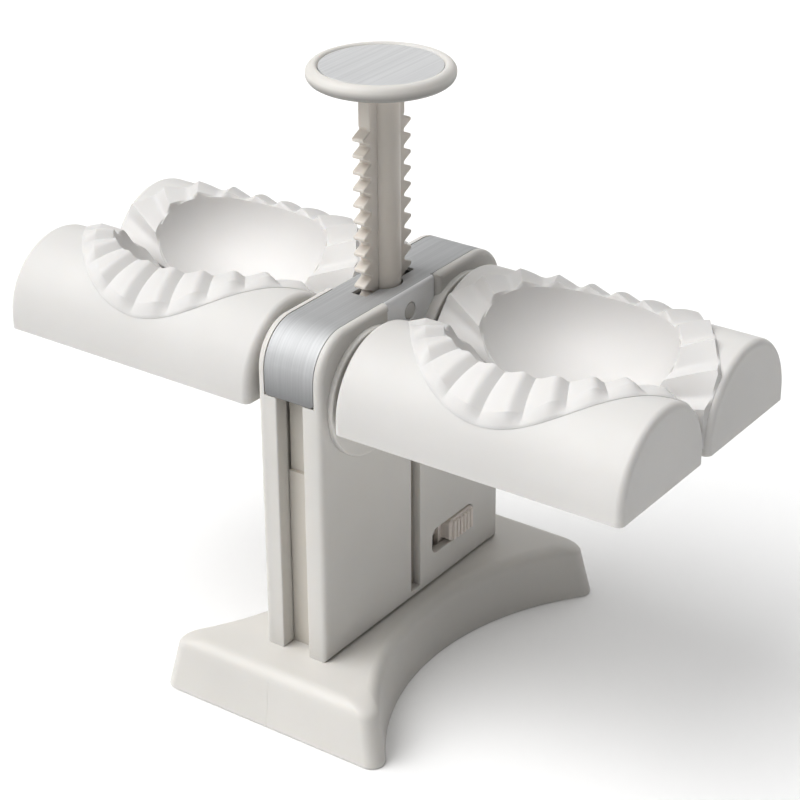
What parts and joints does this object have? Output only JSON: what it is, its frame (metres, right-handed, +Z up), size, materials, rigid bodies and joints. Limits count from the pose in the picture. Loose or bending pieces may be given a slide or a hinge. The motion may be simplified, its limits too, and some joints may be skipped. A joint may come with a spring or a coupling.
{
  "type": "dumpling maker",
  "caption": "Hand-operated dumpling press: a knob drives racks that roll pleated half-round moulds together.",
  "frame": {"origin": "centre of the base at the table", "axes": "+X along the wings, +Y from the front of the base to its back, +Z up"},
  "size_m": [0.212, 0.12, 0.185],
  "materials": {
    "cream_plastic": "satin",
    "wing_plastic": "satin",
    "mould_plastic": "semi-gloss",
    "inner_plastic": "satin",
    "rod_plastic": "satin",
    "button_plastic": "satin",
    "underside_plastic": "matte",
    "gear_nylon": "satin",
    "brushed_sheet": "brushed",
    "brushed_disc": "brushed",
    "screw_steel": "satin",
    "pin_steel": "ground",
    "spring_steel": "bright",
    "pad_rubber": "matte"
  },
  "bodies": {
    "stand": {"base": "cream_plastic", "bottom_cover": "underside_plastic", "foot_pads": "pad_rubber", "base_screws": "screw_steel", "column_screws": "screw_steel", "column_left": "cream_plastic", "column_right": "cream_plastic", "guide_block": "inner_plastic", "steel_cover": "brushed_sheet", "shaft_bushes": "gear_nylon", "spring_post": "pin_steel", "return_spring": "spring_steel"},
    "plunger": {"plunger_rod": "rod_plastic", "knob": "cream_plastic", "knob_disc": "brushed_disc", "knob_screw": "screw_steel"},
    "front_roller": {"front_shaft": "pin_steel", "front_pinion": "gear_nylon", "front_washers": "gear_nylon", "front_wing_left": "wing_plastic", "front_wing_right": "wing_plastic", "front_rim_left": "mould_plastic", "front_rim_right": "mould_plastic", "front_plates": "underside_plastic", "front_screws": "screw_steel"},
    "rear_roller": {"rear_shaft": "pin_steel", "rear_pinion": "gear_nylon", "rear_washers": "gear_nylon", "rear_wing_left": "wing_plastic", "rear_wing_right": "wing_plastic", "rear_rim_left": "mould_plastic", "rear_rim_right": "mould_plastic", "rear_plates": "underside_plastic", "rear_screws": "screw_steel"},
    "lock": {"lock_slider": "button_plastic"}
  },
  "joints": [
    {"name": "front_roll", "type": "hinge", "parent": "stand", "child": "front_roller", "pos_m": [0, -0.0231, 0.0978], "axis": [-1, 0, 0], "range_deg": [0, 180]},
    {"name": "rear_roll", "type": "hinge", "parent": "stand", "child": "rear_roller", "pos_m": [0, 0.0231, 0.0978], "axis": [1, 0, 0], "range_deg": [0, 180]},
    {"name": "plunger_slide", "type": "slide", "parent": "stand", "child": "plunger", "axis": [0, 0, -1], "range_m": [0, 0.04139], "stiffness_N_per_m": 120, "springref_m": -0.02, "deforming": ["return_spring"]},
    {"name": "lock_slide", "type": "slide", "parent": "stand", "child": "lock", "axis": [0, -1, 0], "range_m": [0, 0.007]}
  ],
  "couplings": [
    {"joint": "front_roll", "follows": "plunger_slide", "rad_per_m": 75.901},
    {"joint": "rear_roll", "follows": "plunger_slide", "rad_per_m": 75.901}
  ]
}
